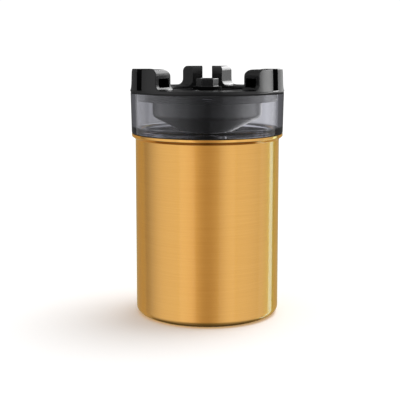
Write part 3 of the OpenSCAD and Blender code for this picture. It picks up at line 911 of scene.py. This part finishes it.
def blade(node, bend, turn, steel):
    """A flat hub and two bent wings with a ground leading edge"""
    ground_w, ground_slope = 2.2, math.atan(0.45)
    hub_z = low(node) if bend > 0 else high(node) - BLADE_T
    rise = math.tan(math.radians(bend))
    outline = wing_outline()

    def field(x, y, z):
        side = np.where(x >= 0, 1.0, -1.0)
        along, across = x * side, y * side
        past = along - BLADE_BEND_R
        lift = rise * 0.5 * (past + np.sqrt(past * past + 0.8))
        up = (z - hub_z - BLADE_T / 2 - lift) * math.cos(math.radians(bend))
        wing = polygon_field(along, across, outline)
        ground = ((up - BLADE_T / 2) * math.cos(ground_slope)
                  + (across - BLADE_ROOT + ground_w) * math.sin(ground_slope))
        ground = ground - np.maximum(0, BLADE_BEND_R + 2 - along)
        wing = np.maximum(wing, ground)
        plan = round_min(wing, np.hypot(x, y) - BLADE_HUB_R, 1.0)
        body = round_max(plan, np.abs(up) - BLADE_T / 2, 0.12)
        hole = np.maximum(np.hypot(x, y) - SHAFT_R, np.abs(turned_across(x, y)) - SHAFT_FLAT)
        return np.maximum(body, -hole)

    def turned_across(x, y):
        """Distance across the shaft's flats, which don't turn with the blade"""
        angle = math.radians(turn)
        return x * math.sin(angle) + y * math.cos(angle)

    reach, half_width = 29.0, 7.4
    vertices, faces, normals = solid(
        field, (-reach, -half_width, low(node) - 0.6), (reach, half_width, high(node) + 0.6), 0.26)
    return piece(node, "rotor", (turned(vertices, turn), faces), [steel],
                 normals=turned(normals, turn))


def blade_nut():
    """Domed flange nut"""
    dome_r, height, across_flats = 3.6, 3.6, 8.0
    flange_r, flange_h, bore_r, reach = 5.0, 0.8, 2.4, 5.4
    nut_z, top = low("blade_nut") + dome_r, high("blade_nut")

    def field(x, y, z):
        radius = np.hypot(x, y)
        flats = round_max(hexagon_field(x, y, across_flats, 0.15), nut_z - z, 0.1)
        flats = np.maximum(flats, (radius - 4.45) * 0.86 - (z - nut_z) * 0.5)
        flats = np.maximum(flats, z - top + 0.1)
        flange = disc_field(x, y, z, top - flange_h, top, flange_r, 0.25)
        dome = np.maximum(np.sqrt(radius ** 2 + (z - nut_z) ** 2) - dome_r, z - nut_z - 0.4)
        body = round_min(round_min(flats, flange, 0.3), dome, 0.2)
        return np.maximum(body, -np.maximum(radius - bore_r, top - height + 0.6 - z))

    vertices, faces, normals = solid(
        field, (-reach, -reach, low("blade_nut") - 0.4), (reach, reach, top + 0.4), 0.18)
    return piece("blade_nut", "rotor", (vertices, faces), [GROUND_STEEL],
                 normals=normals)


def dress(node, material):
    """Gives a CAD node that stays its finish"""
    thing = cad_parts[node]
    thing.data.materials.clear()
    thing.data.materials.append(material)
    smooth_by_angle(thing.data, 30)


# ---------- Studio ----------

def floor():
    """A plain pale floor that reflections and the view through glass don't see"""
    half = 6.0
    mesh = bpy.data.meshes.new("floor")
    mesh.from_pydata([(-half, -half, 0), (half, -half, 0), (half, half, 0), (-half, half, 0)], [],
                     [(0, 1, 2, 3)])
    thing = placed("floor", mesh)
    mesh.materials.append(new_material("pale_floor", {
        "Base Color": (0.9, 0.9, 0.9, 1), "Roughness": 1.0, "Specular IOR Level": 0.0}))
    thing.visible_glossy = False
    thing.visible_transmission = False


# The walls that reflections see: degrees round from the camera, + to its right, and brightness
STUDIO = (
    (-180, 0.10), (-150, 0.12), (-128, 0.16), (-112, 0.3), (-98, 0.55), (-80, 0.76), (-56, 0.81),
    (-35, 0.5), (-18, 0.26), (0, 0.14), (18, 0.26), (35, 0.5), (56, 0.81), (80, 0.74), (98, 0.5),
    (112, 0.3), (128, 0.16), (150, 0.12), (180, 0.10))
BACKDROP = 1.05                             # behind the object, as the camera sees it
CEILING = 0.5                               # above, in reflections
AMBIENT = 0.76                              # round matt surfaces
GLASS_BACKDROP = (0.21, 0.52)               # through glass, on the left and on the right
GLASS_BACKDROP_EDGE = 0.07                  # half the width of the step between the two
KEY_AT = (126, 68)                          # degrees round from the camera, and up
KEY_ENERGY = 1.65
KEY_SPREAD = 40                             # how wide the key looks, in degrees
PANEL_DISTANCE = 0.6                        # from the ring to each panel
WHITE, WARM, AMBER, COOL = (1, 1, 1), (1, 0.80, 0.25), (1, 0.68, 0.35), (0.45, 0.80, 1)
LENS_MM = 92.5
CAMERA_AT = (-0.00045, -0.5367, 0.1472)
CAMERA_TILT = 7.94                          # down from level, in degrees
CAMERA_TURN = 0.356                         # to the left, in degrees
CAMERA_SHIFT = -0.06


def studio_world():
    """White behind the object, shaded walls for reflections, and even light for matt surfaces"""
    world = bpy.data.worlds.new("studio")
    bpy.context.scene.world = world
    world.use_nodes = True
    world.cycles.sampling_method = "NONE"
    nodes, links = world.node_tree.nodes, world.node_tree.links

    def math_node(operation, *inputs):
        """The result of an operation on numbers or outputs"""
        node = nodes.new("ShaderNodeMath")
        node.operation = operation
        for socket, value in zip(node.inputs, inputs):
            if isinstance(value, (int, float)):
                socket.default_value = value
            else:
                links.new(value, socket)
        return node.outputs[0]

    def mixed(share, one, other):
        """A colour that goes from one to the other with the share"""
        node = nodes.new("ShaderNodeMix")
        node.data_type = "RGBA"
        links.new(share, node.inputs["Factor"])
        for socket, value in ((node.inputs[6], one), (node.inputs[7], other)):
            if isinstance(value, (int, float)):
                socket.default_value = (value, value, value, 1)
            else:
                links.new(value, socket)
        return node.outputs[2]

    def smooth_range(value, start, end, least=0.0, most=1.0):
        """Goes smoothly from least to most as the value goes from start to end"""
        node = nodes.new("ShaderNodeMapRange")
        node.interpolation_type = "SMOOTHSTEP"
        for socket, number in zip(node.inputs[1:5], (start, end, least, most)):
            socket.default_value = number
        links.new(value, node.inputs["Value"])
        return node.outputs["Result"]

    coordinates = nodes.new("ShaderNodeTexCoord")
    split = nodes.new("ShaderNodeSeparateXYZ")
    links.new(coordinates.outputs["Generated"], split.inputs["Vector"])
    round_angle = math_node("ARCTAN2", split.outputs["X"], math_node("MULTIPLY", split.outputs["Y"], -1))
    place = math_node("ADD", math_node("DIVIDE", round_angle, 2 * math.pi), 0.5)
    ramp = nodes.new("ShaderNodeValToRGB")
    ramp.color_ramp.interpolation = "EASE"
    brightest = max(level for _, level in STUDIO)
    for i, (degrees, level) in enumerate(STUDIO):
        at = degrees / 360 + 0.5
        stop = ramp.color_ramp.elements[i] if i < 2 else ramp.color_ramp.elements.new(at)
        stop.position = at
        stop.color = (*[level / brightest] * 3, 1)
    links.new(place, ramp.inputs["Fac"])
    walls = nodes.new("ShaderNodeVectorMath")
    walls.operation = "SCALE"
    links.new(ramp.outputs["Color"], walls.inputs[0])
    walls.inputs["Scale"].default_value = brightest
    above = smooth_range(split.outputs["Z"], 0.55, 0.9)
    below = smooth_range(split.outputs["Z"], -0.85, -0.5, 0.25)
    room = nodes.new("ShaderNodeVectorMath")
    room.operation = "SCALE"
    links.new(mixed(above, walls.outputs[0], CEILING), room.inputs[0])
    links.new(below, room.inputs["Scale"])
    through_glass = smooth_range(
        split.outputs["X"], -GLASS_BACKDROP_EDGE, GLASS_BACKDROP_EDGE, *GLASS_BACKDROP)
    path = nodes.new("ShaderNodeLightPath")
    reflected = math_node("GREATER_THAN", path.outputs["Glossy Depth"], 0.5)
    scattered = math_node("GREATER_THAN", path.outputs["Diffuse Depth"], 0.5)
    seen = mixed(reflected, through_glass, room.outputs[0])
    seen = mixed(scattered, seen, AMBIENT)
    seen = mixed(path.outputs["Is Camera Ray"], seen, BACKDROP)
    links.new(seen, nodes["Background"].inputs["Color"])
    nodes["Background"].inputs["Strength"].default_value = 1


def key_light():
    """Broad key from high on the right and behind, for a soft shadow to the left and in front"""
    data = bpy.data.lights.new("key", "SUN")
    data.angle = math.radians(KEY_SPREAD)
    data.energy = KEY_ENERGY
    thing = placed("key", data)
    round_angle, rise = math.radians(KEY_AT[0]), math.radians(KEY_AT[1])
    thing.rotation_euler = (math.pi / 2 - rise, 0, round_angle)
    thing.visible_glossy = False
    thing.visible_transmission = False


def softbox(name, round_degrees, rise_degrees, spread_degrees, height, level, colour, receivers):
    """A panel that lights only some pieces; its level is the brightness that reflections see"""
    width = 2 * PANEL_DISTANCE * math.tan(math.radians(spread_degrees) / 2)
    data = bpy.data.lights.new(name, "AREA")
    data.shape = "RECTANGLE"
    data.size, data.size_y = width, height
    data.energy = level * math.pi * width * height
    data.color = colour
    thing = placed(name, data)
    across, rise = math.radians(round_degrees), math.radians(rise_degrees)
    level_distance = PANEL_DISTANCE * math.cos(rise)
    thing.location = (level_distance * math.sin(across), -level_distance * math.cos(across),
                      RING_Z * MM + PANEL_DISTANCE * math.sin(rise))
    thing.rotation_euler = (math.pi / 2 - rise, 0, across)
    thing.visible_camera = False
    group = bpy.data.collections.new(name + "_receivers")
    for receiver in receivers:
        group.objects.link(receiver)
    thing.light_linking.receiver_collection = group
    thing.light_linking.blocker_collection = group


def camera():
    """Long lens from a little above the ring, tilted down"""
    data = bpy.data.cameras.new("camera")
    data.sensor_width = 36
    data.lens = LENS_MM
    data.shift_y = CAMERA_SHIFT
    data.clip_start, data.clip_end = 0.01, 50
    thing = placed("camera", data)
    thing.location = CAMERA_AT
    thing.rotation_euler = (math.radians(90 - CAMERA_TILT), 0, math.radians(CAMERA_TURN))
    bpy.context.scene.camera = thing


camera()
floor()
studio_world()
key_light()
bpy.context.scene.view_settings.view_transform = "Standard"

sleeve = metal_sleeve()
jar = glass_jar()
rim_gasket()
foot_pad()
carrier_seal()
ring = bayonet_ring()
carrier = blade_carrier()
ring_screws()
coupling = drive_coupling()
coupling_screw()
blade("upper_blade", 12, 0, BLADE_STEEL)
blade("lower_blade", -16, 90, CROSS_BLADE_STEEL)
blade_nut()

dress("base_cushion", FOAM)
dress("hub_sleeve", TURNED_STEEL)
dress("hub_oring", SILICONE)
dress("lower_bush", BRONZE)
dress("upper_bush", BRONZE)
dress("shaft_seal", RED_SEAL)
dress("seal_cap", TURNED_STEEL)
dress("drive_shaft", TURNED_STEEL)
dress("thrust_washer", PTFE)
dress("retaining_ring", SPRING_STEEL)
dress("blade_spacer", TURNED_STEEL)
dress("lock_washer", SPRING_STEEL)

# Panels: degrees round and up, degrees wide, metres tall, brightness, colour and the pieces lit
softbox("ring_rear_high", 142, 26, 50, 0.30, 5.0, WHITE, [ring, coupling])
softbox("ring_rear_low", 138, -4, 54, 0.3, 0.9, WHITE, [ring, coupling])
softbox("ring_right", 97, 0, 24, 0.30, 4, WHITE, [ring, coupling])
softbox("carrier_left", -98, 0, 36, 0.9, 0.7, WHITE, [carrier])
softbox("carrier_right", 96, 0, 48, 0.9, 2.2, WHITE, [carrier])
softbox("carrier_right_edge", 156, 0, 30, 0.9, 2.6, WHITE, [carrier])
softbox("glass_left", -118, 0, 30, 0.9, 0.55, WHITE, [jar])
softbox("glass_right", 108, 0, 26, 0.9, 0.75, WHITE, [jar])
softbox("gold_left", -31, -10, 24, 0.9, 0.40, WHITE, [sleeve])
softbox("gold_front", -4, -10, 44, 0.9, 0.25, AMBER, [sleeve])
softbox("gold_right", 31, -10, 24, 0.9, 0.38, WHITE, [sleeve])
softbox("gold_left_edge", -146, -10, 56, 0.9, 0.35, WARM, [sleeve])
softbox("gold_right_edge", 150, -10, 30, 0.9, 0.42, WARM, [sleeve])
softbox("gold_beside_strip", 104, -10, 26, 0.9, 0.26, WHITE, [sleeve])
softbox("gold_strip", 121.5, -10, 11, 0.9, 1.9, COOL, [sleeve])
